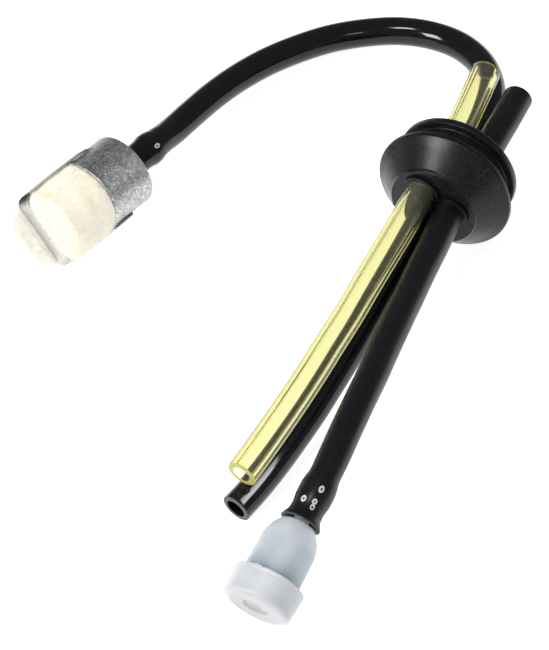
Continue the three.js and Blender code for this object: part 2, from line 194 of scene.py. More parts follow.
def add_stage():
    mesh = bpy.data.meshes.new("floor")
    half = FLOOR_HALF
    corners = [(-half, -half, 0), (half, -half, 0), (half, half, 0), (-half, half, 0)]
    mesh.from_pydata(corners, [], [(0, 1, 2, 3)])
    floor = bpy.data.objects.new("floor", mesh)
    floor.location.z = FLOOR_Z
    bpy.context.scene.collection.objects.link(floor)
    look = Look("floor_white")
    look.shader(base=(0.9, 0.9, 0.9), rough=0.9, specular=0.1)
    look.principled.inputs["Emission Color"].default_value = (1, 1, 1, 1)
    look.principled.inputs["Emission Strength"].default_value = 0.85
    mesh.materials.append(look.material)
    world = bpy.data.worlds.new("studio")
    world.use_nodes = True
    background = world.node_tree.nodes["Background"]
    background.inputs["Color"].default_value = (0.93, 0.96, 1.0, 1)
    background.inputs["Strength"].default_value = 0.24
    bpy.context.scene.world = world
    middle = (0.0, 0.02, 0.01)
    add_softbox("key_left", (-0.88, -0.57, 0.76), middle, (0.42, 0.46), 22)
    add_softbox("top_near", (-0.27, -0.36, 1.2), middle, (0.26, 0.17), 28)
    add_softbox("top_far", (0.34, -0.75, 1.0), middle, (0.18, 0.14), 7)
    bpy.context.scene.view_settings.view_transform = "Standard"


def add_accents(hose, can, pale):
    """Lights that each reach only some pieces, as flags and gobos do in a studio."""
    tail, tin = (-0.004, -0.031, 0.005), (-0.029, 0.045, 0.013)
    place, along = (0.052, -0.041, 0.083), (-0.057, 0.049, 0.040)
    add_softbox("hose_accent", place, tail, (0.022, 0.095), 21, [hose], upright=along, spread=70)
    add_softbox("can_side", (0.369, 0.043, 0.318), tin, (0.16, 0.16), 3.2, [can])
    add_softbox("can_lip", (-0.205, -0.367, 0.235), tin, (0.16, 0.16), 10.0, [can])
    add_softbox("fill", (0.3, -0.25, 1.2), (0.0, 0.02, 0.01), (1.2, 1.2), 1.62, pale)


# ---------------------------------------------------------------- materials


class Look:
    """A node material built up in code."""

    def __init__(self, name):
        self.material = bpy.data.materials.new(name)
        self.material.use_nodes = True
        self.tree = self.material.node_tree
        self.principled = self.tree.nodes["Principled BSDF"]

    def shader(self, base=None, rough=None, specular=0.5, metallic=0.0):
        p = self.principled.inputs
        if base:
            p["Base Color"].default_value = (*base, 1)
        if rough is not None:
            p["Roughness"].default_value = rough
        p["Specular IOR Level"].default_value = specular
        p["Metallic"].default_value = metallic

    def node(self, kind, **settings):
        made = self.tree.nodes.new(kind)
        for key, value in settings.items():
            setattr(made, key, value)
        return made

    def link(self, source, target):
        self.tree.links.new(source, target)

    def place(self, uv=False, scale=(1, 1, 1)):
        """Coordinates: the object's own metres, or the piece's round-and-along map."""
        coord = self.node("ShaderNodeTexCoord")
        mapping = self.node("ShaderNodeMapping")
        mapping.inputs["Scale"].default_value = scale
        self.link(coord.outputs["UV" if uv else "Object"], mapping.inputs["Vector"])
        return mapping.outputs["Vector"]

    def along(self):
        """Length in metres along the piece's outline or strip."""
        split = self.node("ShaderNodeSeparateXYZ")
        self.link(self.place(uv=True), split.inputs["Vector"])
        return split.outputs["Y"]

    def noise(self, vector, scale, detail=4.0, rough=0.55, distortion=0.0):
        made = self.node("ShaderNodeTexNoise")
        made.inputs["Scale"].default_value = scale
        made.inputs["Detail"].default_value = detail
        made.inputs["Roughness"].default_value = rough
        made.inputs["Distortion"].default_value = distortion
        self.link(vector, made.inputs["Vector"])
        return made.outputs["Fac"]

    def cells(self, vector, scale):
        made = self.node("ShaderNodeTexVoronoi")
        made.inputs["Scale"].default_value = scale
        self.link(vector, made.inputs["Vector"])
        return made.outputs["Color"]

    def ramp(self, value, *stops):
        """stops are (position, colour or grey)."""
        made = self.node("ShaderNodeValToRGB")
        elements = made.color_ramp.elements
        while len(elements) < len(stops):
            elements.new(0.5)
        for element, (position, colour) in zip(elements, stops):
            element.position = position
            rgb = colour if isinstance(colour, tuple) else (colour,) * 3
            element.color = (*rgb, 1)
        self.link(value, made.inputs["Fac"])
        return made.outputs["Color"]

    def math(self, operation, a, b):
        made = self.node("ShaderNodeMath", operation=operation)
        for socket, value in zip(made.inputs, (a, b)):
            if isinstance(value, (int, float)):
                socket.default_value = value
            else:
                self.link(value, socket)
        return made.outputs["Value"]

    def mix(self, factor, a, b):
        made = self.node("ShaderNodeMix", data_type="RGBA")
        for socket, value in ((made.inputs[0], factor), (made.inputs[6], a), (made.inputs[7], b)):
            if isinstance(value, tuple):
                socket.default_value = (*value, 1)
            elif isinstance(value, (int, float)):
                socket.default_value = value
            else:
                self.link(value, socket)
        return made.outputs[2]

    def set(self, name, source):
        self.link(source, self.principled.inputs[name])

    def bump(self, height, distance, strength=1.0):
        made = self.node("ShaderNodeBump")
        made.inputs["Strength"].default_value = strength
        made.inputs["Distance"].default_value = distance
        self.link(height, made.inputs["Height"])
        self.link(made.outputs["Normal"], self.principled.inputs["Normal"])


def moulded_rubber():
    look = Look("moulded_rubber")
    look.shader(specular=0.22)
    at = look.place()
    broad = look.noise(at, 90, 3)
    grain = look.noise(at, 1600, 4, 0.65)
    dust = look.ramp(look.noise(at, 700, 2, 0.6, 0.8), (0.72, 0.0), (0.76, 1.0))
    clouds = look.ramp(broad, (0.35, 0.0), (0.68, 1.0))
    tone = look.mix(clouds, (0.003, 0.003, 0.0045), (0.0065, 0.0065, 0.008))
    tone = look.mix(look.ramp(grain, (0.42, 0.0), (0.72, 0.8)), tone, (0.018, 0.018, 0.021))
    look.set("Base Color", look.mix(look.math("MULTIPLY", dust, 0.25), tone, (0.20, 0.20, 0.22)))
    look.set("Roughness", look.ramp(look.noise(at, 260, 5), (0.3, 0.28), (0.75, 0.38)))
    look.bump(look.math("ADD", grain, look.math("MULTIPLY", broad, 0.5)), 0.00003, 0.6)
    return look.material


def black_hose(name, rough_low, rough_high, stretched=None):
    """Drawn rubber; stretched is the roughness where it is pulled over a barb at its start."""
    look = Look(name)
    look.shader(specular=0.34)
    lines = look.place(uv=True, scale=(60, 9, 1))
    at = look.place()
    drawn = look.noise(lines, 4, 5, 0.6)
    speck = look.noise(at, 900, 3)
    specks = look.ramp(speck, (0.45, 0.0), (0.8, 1.0))
    look.set("Base Color", look.mix(specks, (0.0038, 0.0038, 0.0050), (0.0080, 0.0080, 0.0098)))
    rough = look.ramp(look.noise(at, 220, 4), (0.3, rough_low), (0.75, rough_high))
    if stretched:
        along = look.math("MULTIPLY", look.along(), 40)
        rough = look.mix(look.ramp(along, (0.42, 1.0), (0.56, 0.0)), rough, (stretched,) * 3)
    look.set("Roughness", rough)
    look.bump(look.math("ADD", drawn, look.math("MULTIPLY", speck, 0.2)), 0.000006, 0.25)
    return look.material


def cut_rubber():
    look = Look("cut_rubber")
    look.shader(specular=0.3)
    at = look.place()
    grain = look.noise(at, 1800, 5, 0.7)
    look.set("Base Color", look.ramp(grain, (0.3, (0.035, 0.036, 0.038)), (0.75, (0.11, 0.11, 0.115))))
    look.set("Roughness", look.ramp(grain, (0.3, 0.5), (0.8, 0.75)))
    look.bump(grain, 0.00006, 0.8)
    return look.material


def print_white(name, low, high):
    look = Look(name)
    look.shader(specular=0.4)
    grain = look.noise(look.place(), 3000, 3)
    look.set("Base Color", look.ramp(grain, (0.35, low), (0.7, high)))
    look.set("Roughness", look.ramp(grain, (0.3, 0.45), (0.8, 0.6)))
    look.bump(grain, 0.00001, 0.5)
    return look.material


def clear_yellow():
    look = Look("clear_yellow")
    look.shader(specular=0.5)
    p = look.principled.inputs
    p["Transmission Weight"].default_value = 0.965
    p["IOR"].default_value = 1.46
    lines = look.place(uv=True, scale=(48, 3, 1))
    drawn = look.noise(lines, 3, 4, 0.6)
    look.set("Base Color", look.ramp(drawn, (0.3, (0.975, 0.975, 0.955)), (0.75, (0.99, 0.99, 0.98))))
    look.set("Roughness", look.ramp(look.noise(look.place(), 300, 3), (0.3, 0.02), (0.8, 0.06)))
    look.bump(drawn, 0.00001, 0.04)
    body = look.node("ShaderNodeVolumeAbsorption")
    body.inputs["Color"].default_value = (0.79, 0.75, 0.12, 1)
    body.inputs["Density"].default_value = 470
    look.link(body.outputs[0], look.tree.nodes["Material Output"].inputs["Volume"])
    return look.material


def cut_yellow():
    look = Look("cut_yellow")
    look.shader(specular=0.35)
    look.principled.inputs["Subsurface Weight"].default_value = 0.5
    look.principled.inputs["Subsurface Radius"].default_value = (1.0, 0.95, 0.3)
    look.principled.inputs["Subsurface Scale"].default_value = 0.001
    grain = look.noise(look.place(), 1600, 4)
    look.set("Base Color", look.ramp(grain, (0.3, (0.33, 0.325, 0.085)), (0.75, (0.44, 0.43, 0.14))))
    look.set("Roughness", look.ramp(grain, (0.3, 0.35), (0.8, 0.6)))
    look.bump(grain, 0.00003, 0.5)
    return look.material


def milky_plastic(name, low, high, shade, painted_light_top=None):
    """Natural plastic clouded between two tones.

    It is darker at its foot, painted shade for what inside shows through, and,
    if a top tone is given, paler at its top, painted light where the wall is thick.
    """
    look = Look(name)
    look.shader(specular=0.5)
    p = look.principled.inputs
    p["Subsurface Weight"].default_value = 0.6
    p["Subsurface Radius"].default_value = (0.9, 1.0, 1.15)
    p["Subsurface Scale"].default_value = 0.0025
    p["Transmission Weight"].default_value = 0.3
    p["IOR"].default_value = 1.5
    at = look.place()
    cloud = look.noise(at, 140, 3)
    flow = look.noise(look.place(uv=True, scale=(70, 30, 1)), 4, 3)
    tone = look.mix(look.ramp(cloud, (0.3, 0.0), (0.75, 1.0)), low, high)
    tone = look.mix(look.ramp(flow, (0.35, 0.0), (0.7, 0.10)), tone, (1.0, 1.0, 1.0))
    along = look.math("MULTIPLY", look.along(), 40)
    # Painted shade: the tone is darker towards the start of the outline, at the body's foot and at the cap's
    # face.
    tone = look.mix(look.ramp(along, (0.17, 1.0), (0.36, 0.0)), tone, shade)
    # Painted light: the tone is paler towards the top of the body.
    if painted_light_top:
        tone = look.mix(look.ramp(along, (0.46, 0.0), (0.62, 1.0)), tone, painted_light_top)
    look.set("Base Color", tone)
    look.set("Roughness", look.ramp(flow, (0.3, 0.27), (0.75, 0.42)))
    look.bump(look.math("ADD", flow, look.math("MULTIPLY", cloud, 0.5)), 0.00002, 0.4)
    return look.material


def zinc_plate():
    look = Look("zinc_plate")
    look.shader(metallic=1.0)
    at = look.place()
    warped = look.node("ShaderNodeVectorMath", operation="ADD")
    wobble = look.node("ShaderNodeTexNoise")
    wobble.inputs["Scale"].default_value = 500
    look.link(at, wobble.inputs["Vector"])
    small = look.node("ShaderNodeVectorMath", operation="SCALE")
    small.inputs["Scale"].default_value = 0.0012
    look.link(wobble.outputs["Color"], small.inputs[0])
    look.link(at, warped.inputs[0])
    look.link(small.outputs[0], warped.inputs[1])
    spangle = look.cells(warped.outputs[0], 2300)
    fine = look.noise(at, 2600, 5, 0.8)
    broad = look.noise(at, 170, 3)
    grey = look.ramp(spangle, (0.1, 0.17), (0.5, 0.41), (0.9, 0.86))
    grey = look.mix(0.5, grey, look.ramp(fine, (0.38, 0.06), (0.64, 0.90)))
    grey = look.mix(look.ramp(broad, (0.35, 0.4), (0.7, 0.0)), grey, (0.33, 0.34, 0.34))
    glints = look.ramp(look.noise(at, 1100, 3, 0.7), (0.63, 0.0), (0.67, 1.0))
    look.set("Base Color", look.mix(glints, grey, (0.97, 0.97, 0.98)))
    look.set("Roughness", look.ramp(fine, (0.3, 0.34), (0.75, 0.56)))
    look.bump(look.math("ADD", fine, look.math("MULTIPLY", broad, 0.8)), 0.00008, 0.8)
    return look.material


def bright_strip():
    look = Look("bright_strip")
    look.shader(metallic=1.0)
    at = look.place()
    fine = look.noise(look.place(uv=True, scale=(1, 60, 1)), 60, 4)
    tone = look.ramp(fine, (0.3, (0.47, 0.466, 0.466)), (0.7, (0.56, 0.555, 0.553)))
    # Painted dark reflection: one corner of the strip, where it bends round the felt's end, is darker in
    # colour and in specular tint.
    along = look.math("MULTIPLY", look.along(), 10)
    painted_dark_corner = look.ramp(along, (0.324, 0.0), (0.336, 1.0), (0.352, 1.0), (0.366, 0.0))
    look.set("Base Color", look.mix(painted_dark_corner, tone, (0.13, 0.13, 0.135)))
    look.set("Specular Tint", look.mix(painted_dark_corner, (0.40, 0.40, 0.41), (0.20, 0.20, 0.205)))
    look.set("Roughness", look.ramp(look.noise(at, 900, 3), (0.3, 0.28), (0.75, 0.42)))
    look.bump(fine, 0.00002, 0.3)
    return look.material


def needle_felt():
    look = Look("needle_felt")
    look.shader(specular=0.1)
    p = look.principled.inputs
    p["Sheen Weight"].default_value = 0.35
    p["Sheen Roughness"].default_value = 0.5
    p["Subsurface Weight"].default_value = 0.25
    p["Subsurface Radius"].default_value = (1.0, 0.8, 0.55)
    p["Subsurface Scale"].default_value = 0.0015
    at = look.place()
    fibre = look.noise(at, 1900, 6, 0.75, 1.8)
    tuft = look.noise(at, 330, 3)
    stain = look.noise(at, 95, 2)
    cream = look.mix(look.ramp(stain, (0.38, 0.0), (0.66, 1.0)), (0.97, 0.93, 0.82), (0.96, 0.87, 0.71))
    # Painted shade: the felt's end face and the start of its rounded edge are made a darker grey.
    painted_end_shade = look.ramp(look.math("MULTIPLY", look.along(), 50), (0.30, 1.0), (0.41, 0.0))
    cream = look.mix(painted_end_shade, cream, (0.62, 0.61, 0.57))
    look.set("Base Color", look.mix(look.ramp(fibre, (0.38, 0.40), (0.58, 0.0)), cream, (0.80, 0.71, 0.58)))
    look.set("Roughness", look.ramp(fibre, (0.3, 0.85), (0.8, 1.0)))
    look.bump(look.math("ADD", fibre, look.math("MULTIPLY", tuft, 0.4)), 0.00012, 1.0)
    return look.material


def plain_nylon():
    look = Look("plain_nylon")
    look.shader(specular=0.45)
    grain = look.noise(look.place(), 900, 4)
    look.set("Base Color", look.ramp(grain, (0.3, (0.74, 0.75, 0.74)), (0.75, (0.86, 0.86, 0.85))))
    look.set("Roughness", look.ramp(grain, (0.3, 0.38), (0.8, 0.55)))
    look.bump(grain, 0.00003, 0.4)
    return look.material


def turned_brass():
    look = Look("turned_brass")
    look.shader(metallic=1.0)
    at = look.place()
    marks = look.noise(at, 1500, 3)
    look.set("Base Color", look.ramp(marks, (0.3, (0.60, 0.44, 0.20)), (0.75, (0.80, 0.62, 0.32))))
    look.set("Roughness", look.ramp(marks, (0.3, 0.22), (0.8, 0.42)))
    look.bump(marks, 0.00002, 0.4)
    return look.material


def matt_seal():
    look = Look("matt_seal")
    look.shader(specular=0.25)
    grain = look.noise(look.place(), 1400, 4)
    look.set("Base Color", look.ramp(grain, (0.3, 0.012), (0.75, 0.03)))
    look.set("Roughness", look.ramp(grain, (0.3, 0.6), (0.8, 0.8)))
    look.bump(grain, 0.00004, 0.5)
    return look.material


# ---------------------------------------------------------------- mesh building


def rounded(outline, radius, closed=True, steps=4):
    """The outline with each corner turned into a short arc of about the radius."""
    out = []
    count = len(outline)
    for i, point in enumerate(outline):
        here = Vector(point[:2])
        if not closed and i in (0, count - 1):
            out.append(here)
            continue
        reach = point[2] if len(point) > 2 else radius
        before = Vector(outline[i - 1][:2]) - here
        after = Vector(outline[(i + 1) % count][:2]) - here
        reach = min(reach, 0.48 * before.length, 0.48 * after.length)
        start = here + before.normalized() * reach
        end = here + after.normalized() * reach
        for k in range(steps + 1):
            t = k / steps
            out.append(start * (1 - t) ** 2 + here * (2 * t * (1 - t)) + end * t**2)
    return out


def face_outward(mesh):
    work = bmesh.new()
    work.from_mesh(mesh)
    bmesh.ops.recalc_face_normals(work, faces=work.faces)
    work.to_mesh(mesh)
    work.free()


def shade_smooth(mesh, crease):
    """Smooth shading, with sharp edges where faces meet at more than the crease in degrees."""
    mesh.polygons.foreach_set("use_smooth", [True] * len(mesh.polygons))
    mesh.set_sharp_from_angle(angle=math.radians(crease))


def mesh_piece(name, verts, faces, uvs, materials, crease=35, indices=None):
    """A smooth-shaded object from points in metres, faces and one (u, v) per face corner."""
    mesh = bpy.data.meshes.new(name)
    mesh.from_pydata(verts, [], faces)
    layer = mesh.uv_layers.new(name="UVMap")
    flat = [value for face in uvs for corner in face for value in corner]
    layer.data.foreach_set("uv", flat)
    if indices:
        mesh.polygons.foreach_set("material_index", indices)
    face_outward(mesh)
    shade_smooth(mesh, crease)
    for material in materials:
        mesh.materials.append(material)
    piece = bpy.data.objects.new(name, mesh)
    bpy.context.scene.collection.objects.link(piece)
    return piece


def turned(name, outline, place, material, sides=96, radius=0.15, closed=True, shape=None, crease=35):
    """A solid turned about the assembly's axis from (radius, z) points, then reshaped point by point."""
    ring = rounded(outline, radius, closed)
    verts, rows = [], []
    for r, z in ring:
        row = []
        for j in range(1 if r < 1e-6 else sides):
            x, y = around(j * 360 / sides, r)
            point = Vector((x, y, z))
            if shape:
                point = shape(point)
            row.append(len(verts))
            verts.append(place @ point)
        rows.append(row)
    along = [0.0]
    for a, b in zip(ring, ring[1:]):
        along.append(along[-1] + (b - a).length / 1000)
    pairs = list(zip(range(len(rows)), range(1, len(rows))))
    if closed:
        pairs.append((len(rows) - 1, 0))
    faces, uvs = [], []
    for a, b in pairs:
        va, vb = along[a], along[b] if b else along[-1]
        for j in range(sides):
            k = (j + 1) % sides
            u0, u1 = j / sides, (j + 1) / sides
            first, second = rows[a], rows[b]
            if len(first) == 1 and len(second) == 1:
                continue
            if len(first) == 1:
                faces.append((first[0], second[k], second[j]))
                uvs.append(((u0, va), (u1, vb), (u0, vb)))
            elif len(second) == 1:
                faces.append((first[j], first[k], second[0]))
                uvs.append(((u0, va), (u1, va), (u0, vb)))
            else:
                faces.append((first[j], first[k], second[k], second[j]))
                uvs.append(((u0, va), (u1, va), (u1, vb), (u0, vb)))
    return mesh_piece(name, verts, faces, uvs, [material], crease)


class Route:
    """The smooth curve through a hose's points, measured along its length in millimetres."""

    def __init__(self, points, spacing=0.5):
        ends = [Vector(p) for p in points]
        ends = [2 * ends[0] - ends[1], *ends, 2 * ends[-1] - ends[-2]]
        dense = []
        for a, b, c, d in zip(ends, ends[1:], ends[2:], ends[3:]):
            steps = max(8, int((c - b).length * 4))
            ta, tb, tc = ((q - p).length ** 0.5 for p, q in ((a, b), (b, c), (c, d)))
            out = ((b - a) / ta - (c - a) / (ta + tb) + (c - b) / tb) * tb
            into = ((c - b) / tb - (d - b) / (tb + tc) + (d - c) / tc) * tb
            for k in range(steps):
                t = k / steps
                dense.append(
                    b * (2 * t**3 - 3 * t**2 + 1)
                    + c * (3 * t**2 - 2 * t**3)
                    + out * (t**3 - 2 * t**2 + t)
                    + into * (t**3 - t**2)
                )
        dense.append(ends[-2])
        travelled = [0.0]
        for p, q in zip(dense, dense[1:]):
            travelled.append(travelled[-1] + (q - p).length)
        self.length = travelled[-1]
        self.count = int(self.length / spacing)
        self.points = []
        i = 0
        for k in range(self.count + 1):
            s = self.length * k / self.count
            while i < len(dense) - 2 and travelled[i + 1] < s:
                i += 1
            share = (s - travelled[i]) / (travelled[i + 1] - travelled[i])
            self.points.append(dense[i].lerp(dense[i + 1], share))

    def at(self, s):
        """Position, up and side at a length along the route."""
        f = min(max(s / self.length, 0.0), 1.0) * self.count
        i = min(int(f), self.count - 1)
        here = self.points[i].lerp(self.points[i + 1], f - i)
        a, b = max(i - 2, 0), min(i + 3, self.count)
        tangent = (self.points[b] - self.points[a]).normalized()
        up = Vector((0, 0, 1)) - tangent * tangent.z
        up.normalize()
        return here, up, tangent.cross(up)

    def metres(self, every=4.0):
        steps = int(self.length / every)
        return [mm(*self.at(self.length * k / steps)[0]) for k in range(steps + 1)]


def between(x, table):
    """Smooth value from (x, value) pairs in order."""
    if x <= table[0][0]:
        return table[0][1]
    for (x0, v0), (x1, v1) in zip(table, table[1:]):
        if x <= x1:
            t = (x - x0) / (x1 - x0)
            return v0 + (v1 - v0) * t * t * (3 - 2 * t)
    return table[-1][1]


def swept(name, route, outer, bore, materials, sides=40, step=0.8, inner_step=1.6):
    """A hollow hose whose outer and bore radii are functions of the length along the route.

    Each row is (length, radius, kind), where kind is 0 outside, 1 on a rounded end and 2 in the bore.
    """
    length = route.length
    lip = 0.16
    rows = []
    count = int(length / step)
    for k in range(5):
        t = math.pi / 2 * k / 4
        rows.append((lip - lip * math.cos(t), outer(0) - lip + lip * math.sin(t), 1))
    for k in range(1, count):
        s = length * k / count
        rows.append((s, outer(s), 0))
    for k in range(5):
        t = math.pi / 2 * k / 4
        rows.append((length - lip + lip * math.sin(t), outer(length) - lip + lip * math.cos(t), 1))
    inner_count = int(length / inner_step)
    for k in range(inner_count, -1, -1):
        s = length * k / inner_count
        rows.append((s, bore(s), 2))
    verts = []
    for s, r, _ in rows:
        here, up, side = route.at(s)
        for j in range(sides):
            t = 2 * math.pi * j / sides
            verts.append(mm(*(here + up * (r * math.cos(t)) + side * (r * math.sin(t)))))
    faces, uvs, indices = [], [], []
    for a in range(len(rows)):
        b = (a + 1) % len(rows)
        cut = (rows[a][2], rows[b][2]) in ((1, 1), (1, 2), (2, 1))
        for j in range(sides):
            k = (j + 1) % sides
            faces.append((a * sides + j, a * sides + k, b * sides + k, b * sides + j))
            u0, u1 = j / sides, (j + 1) / sides
            v0, v1 = rows[a][0] / 1000, rows[b][0] / 1000
            uvs.append(((u0, v0), (u1, v0), (u1, v1), (u0, v1)))
            indices.append(1 if cut else 0)
    return mesh_piece(name, verts, faces, uvs, materials, 50, indices)


def printed_ring(name, route, s, deg, size, outer, materials):
    """A small oval print mark lying on a hose, thinner in its middle."""
    verts, faces, uvs = [], [], []
    sides, bands = 28, (0.42, 0.72, 1.0)
    lifts = (0.012, 0.035, 0.012)
    for share, lift in zip(bands, lifts):
        for j in range(sides):
            t = 2 * math.pi * j / sides
            ds = size * share * math.sin(t)
            across = size * 0.8 * share * math.cos(t)
            here, up, side = route.at(s + ds)
            r = outer(s + ds) + lift
            a = math.radians(deg) + across / r
            verts.append(mm(*(here + up * (r * math.cos(a)) + side * (r * math.sin(a)))))
    for row in range(2):
        for j in range(sides):
            k = (j + 1) % sides
            a, b = row * sides, (row + 1) * sides
            faces.append((a + j, a + k, b + k, b + j))
            uvs.append(((0, 0), (1, 0), (1, 1), (0, 1)))
    for j in range(sides):
        k = (j + 1) % sides
        faces.append((j, 2 * sides + j, 2 * sides + k, k))
        uvs.append(((0, 0), (1, 0), (1, 1), (0, 1)))
    faces.append(tuple(range(sides)))
    uvs.append(tuple((0, 0) for _ in range(sides)))
    indices = [0] * (len(faces) - 1) + [1]
    return mesh_piece(name, verts, faces, uvs, materials, indices=indices)


# ---------------------------------------------------------------- grommet


def cutter(x, y, r, z0, z1, place):
    """A rod used to bore a hole, with a small chamfer at its lower mouth."""
    outline = [(0, z0), (r + 0.9, z0), (r + 0.25, CONE_END_S - 0.02), (r, CONE_END_S + 0.25)]
    outline += [(r, z1), (0, z1)]
    moved = place @ Matrix.Translation((x, y, 0))
    return turned("cutter", outline, moved, None, sides=64, radius=0.0, closed=False)


def bore_holes(piece, tools, crease):
    """Cuts the tools out of the piece, and removes them."""
    for tool in tools:
        cut = piece.modifiers.new("bore", "BOOLEAN")
        cut.operation = "DIFFERENCE"
        cut.solver = "EXACT"
        cut.object = tool
    bpy.context.view_layer.update()
    graph = bpy.context.evaluated_depsgraph_get()
    fresh = bpy.data.meshes.new_from_object(piece.evaluated_get(graph))
    piece.modifiers.clear()
    piece.data = fresh
    shade_smooth(fresh, crease)
    for tool in tools:
        bpy.data.objects.remove(tool)


def make_grommet(material):
    outline = [
        (0, CONE_END_S),
        (9.0, CONE_END_S, 0.35),
        (9.15, -5.3, 0.3),
        (12.6, -1.75, 0.8),
        (14.0, -0.55, 0.25),
        (14.0, 0.45, 0.2),
        (13.3, 0.7, 0.2),
        (11.4, 1.9, 0.5),
        (11.0, 2.4, 0.4),
        (11.0, 5.1, 0.3),
        (12.4, 5.2, 0.25),
        (12.5, 5.5, 0.2),
        (12.5, 6.6, 0.3),
        (12.1, 6.8, 0.2),
        (0, 6.8),
    ]
    piece = turned("grommet", outline, GROMMET, material, sides=128, radius=0.2, closed=False)
    tools = []
    for deg in (VENT_HOLE_DEG, RETURN_HOLE_DEG, SUCTION_HOLE_DEG):
        x, y = around(deg, HOLE_RING_R)
        tools.append(cutter(x, y + HOLE_RING_SHIFT, HOLE_R, CONE_END_S - 0.7, 8.0, GROMMET))
    bore_holes(piece, tools, 38)
    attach(piece, "grommet")
    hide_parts("tank_grommet")


# ---------------------------------------------------------------- hoses


def in_hole(deg):
    x, y = around(deg, HOLE_RING_R)
    return [back_to_mm(GROMMET @ Vector((x, y + HOLE_RING_SHIFT, s))) for s in HOLE_STATIONS]


def on_axis(place, heights):
    return [back_to_mm(place @ Vector((0, 0, z))) for z in heights]


# Each hose swells over the barb it is pushed on: (distance from its end, radius).
FILTER_END = [
    (0, 3.2), (3.4, 3.16), (5.0, 3.18), (6.7, 3.48), (7.5, 3.46), (9.6, 3.08), (11.5, 2.96), (15, 3.0),
]
VALVE_END = [
    (0, 3.95), (0.5, 3.75), (1.6, 3.25), (2.9, 3.12), (5.4, 3.4), (7.3, 3.4), (10.7, 2.94), (14.5, 3.0),
]


def make_suction_hose(materials, mark):
    start = on_axis(FILTER, (HOSE_GAP, 5.0, 10.0))
    route = Route(start + SUCTION_LOOP + in_hole(SUCTION_HOLE_DEG) + SUCTION_TAIL)

    def outer(s):
        return between(s, FILTER_END)

    piece = swept("suction_hose_tube", route, outer, lambda s: HOSE_BORE_R, materials)
    dot = printed_ring("suction_print", route, 7.1, 44, 0.62, outer, mark)
    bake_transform(piece)
    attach(dot, "suction_end")
    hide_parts("suction_hose", "suction_hose_end")
    route.metres()
    return piece


def make_return_hose(materials):
    route = Route(RETURN_STUB + in_hole(RETURN_HOLE_DEG) + RETURN_TAIL)
    piece = swept(
        "return_hose_tube",
        route,
        lambda s: HOSE_R,
        lambda s: RETURN_BORE_R,
        materials,
        sides=96,
        step=0.5,
        inner_step=0.5,
    )
    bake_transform(piece)
    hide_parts("return_hose", "return_hose_end")
    route.metres()


def make_vent_hose(materials, mark):
    end = on_axis(VALVE, (NECK_Z + 7.6, NECK_Z + 4.0, NECK_Z + HOSE_GAP))
    route = Route(VENT_STUB + in_hole(VENT_HOLE_DEG) + VENT_TAIL + end)

    def outer(s):
        return between(route.length - s, VALVE_END)

    def bore(s):
        return between(route.length - s, [(0, 3.4), (1.8, 2.0)])

    piece = swept("vent_hose_tube", route, outer, bore, materials)
    marks = [
        printed_ring("vent_print_1", route, route.length - 3.7, 12, 0.66, outer, mark),
        printed_ring("vent_print_2", route, route.length - 4.0, -26, 0.6, outer, mark),
        printed_ring("vent_print_3", route, route.length - 2.9, -28, 0.6, outer, mark),
        printed_ring("vent_print_4", route, route.length - 6.5, -26, 0.66, outer, mark),
    ]
    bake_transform(piece)
    for dot in marks:
        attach(dot, "vent_end")
    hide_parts("vent_hose", "vent_hose_end")
    route.metres()


# ---------------------------------------------------------------- pickup filter


def slot_cutter(turn):
    """A block that cuts one of the can's two side slots."""
    wide, deep, foot, head = 2.45, 1.3, -8.9, -4.3
    reach = (CAN_R - deep, CAN_R + deep)
    box = [(x, y, z) for x in (-wide, wide) for y in reach for z in (foot, head)]
    sides = [(0, 1, 3, 2), (4, 6, 7, 5), (0, 4, 5, 1), (2, 3, 7, 6), (0, 2, 6, 4), (1, 5, 7, 3)]
    place = FILTER @ Matrix.Rotation(math.radians(STRAP_ROLL + turn), 4, "Z")
    mesh = bpy.data.meshes.new("slot")
    mesh.from_pydata([place @ Vector(p) for p in box], [], sides)
    face_outward(mesh)
    tool = bpy.data.objects.new("slot", mesh)
    bpy.context.scene.collection.objects.link(tool)
    return tool


def make_can(material):
    def dented(p):
        """Pressed sheet is never quite round, and its open edge waves a little."""
        wave = noise.noise(Vector((p.x, p.y, p.z)) * 0.22) * 0.07
        edge = 0.12 * noise.noise(Vector((p.x, p.y, 0)) * 0.6) if p.z < -9.9 else 0.0
        r = math.hypot(p.x, p.y)
        k = 1 + wave / r if r > 6 else 1
        return Vector((p.x * k, p.y * k, p.z + edge))

    outline = [(7.2, -10.2), (7.3, -10.7, 0.2), (7.95, -10.74, 0.5), (7.86, -10.1, 0.3), (CAN_R, -9.8)]
    outline += [(CAN_R, -10.5 + 0.75 * k) for k in range(1, 13)]
    outline += [(CAN_R, -0.5, 0.05), (7.72, 0.0, 0.35)]
    outline += [(5.5, 0.0), (3.6, 0.02), (2.0, 0.0), (2.0, -0.5), (7.2, -0.5)]
    piece = turned("can", outline, FILTER, material, sides=128, radius=0.12, shape=dented)
    bore_holes(piece, [slot_cutter(0), slot_cutter(180)], 35)
    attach(piece, "pickup_filter")
    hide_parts("filter_can")
    return piece


